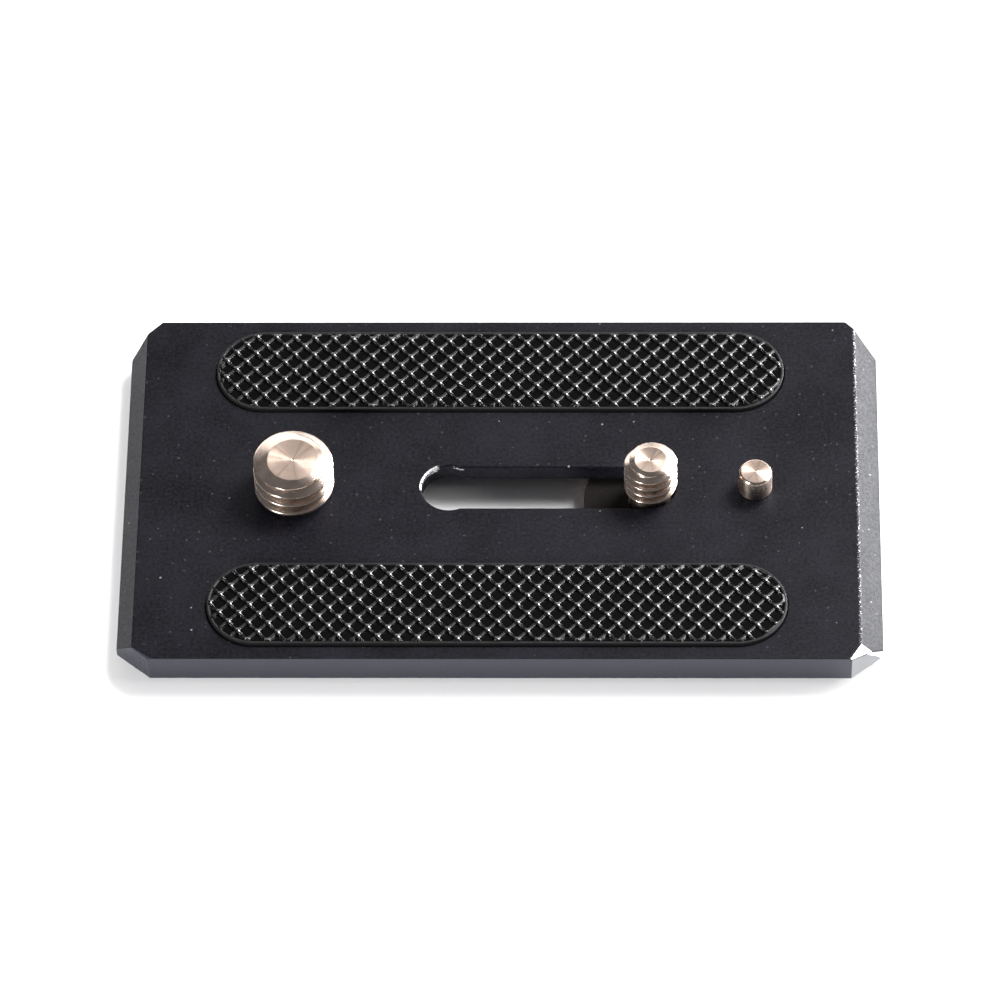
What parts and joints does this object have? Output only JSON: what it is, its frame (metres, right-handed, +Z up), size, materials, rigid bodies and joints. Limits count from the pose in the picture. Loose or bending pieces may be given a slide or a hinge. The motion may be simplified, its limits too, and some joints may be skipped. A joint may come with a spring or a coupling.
{
  "type": "tripod quick release plate",
  "caption": "Flat black quick release plate with bevelled ends, inlaid ridged rubber strips, two sizes of camera screw and an anti-twist pin, holding a camera on a tripod head.",
  "frame": {"origin": "middle of the plate's underside", "axes": "+X along the plate towards the anti-twist pin, +Y to the rear, +Z up towards the camera"},
  "size_m": [0.09, 0.05, 0.0105],
  "materials": {
    "anodised": "matte black anodised",
    "rubber": "satin moulded",
    "stainless": "turned",
    "fibre": "matte"
  },
  "bodies": {
    "plate": {"base_plate": "anodised", "grip_pad_rear": "rubber", "grip_pad_front": "rubber", "anti_twist_pin": "stainless", "large_washer": "fibre"},
    "carriage": {"small_washer": "fibre"},
    "small_screw": {"small_screw": "stainless"},
    "large_screw": {"large_screw": "stainless"}
  },
  "joints": [
    {"name": "screw_slide", "type": "slide", "parent": "plate", "child": "carriage", "axis": [1, 0, 0], "range_m": [-0.02392, 0]},
    {"name": "small_screw_turn", "type": "hinge", "parent": "carriage", "child": "small_screw", "pos_m": [0.01772, 0, 0.005], "axis": [0, 0, 1], "continuous": true},
    {"name": "large_screw_turn", "type": "hinge", "parent": "plate", "child": "large_screw", "pos_m": [-0.0246, 0, 0.005], "axis": [0, 0, 1], "continuous": true}
  ]
}
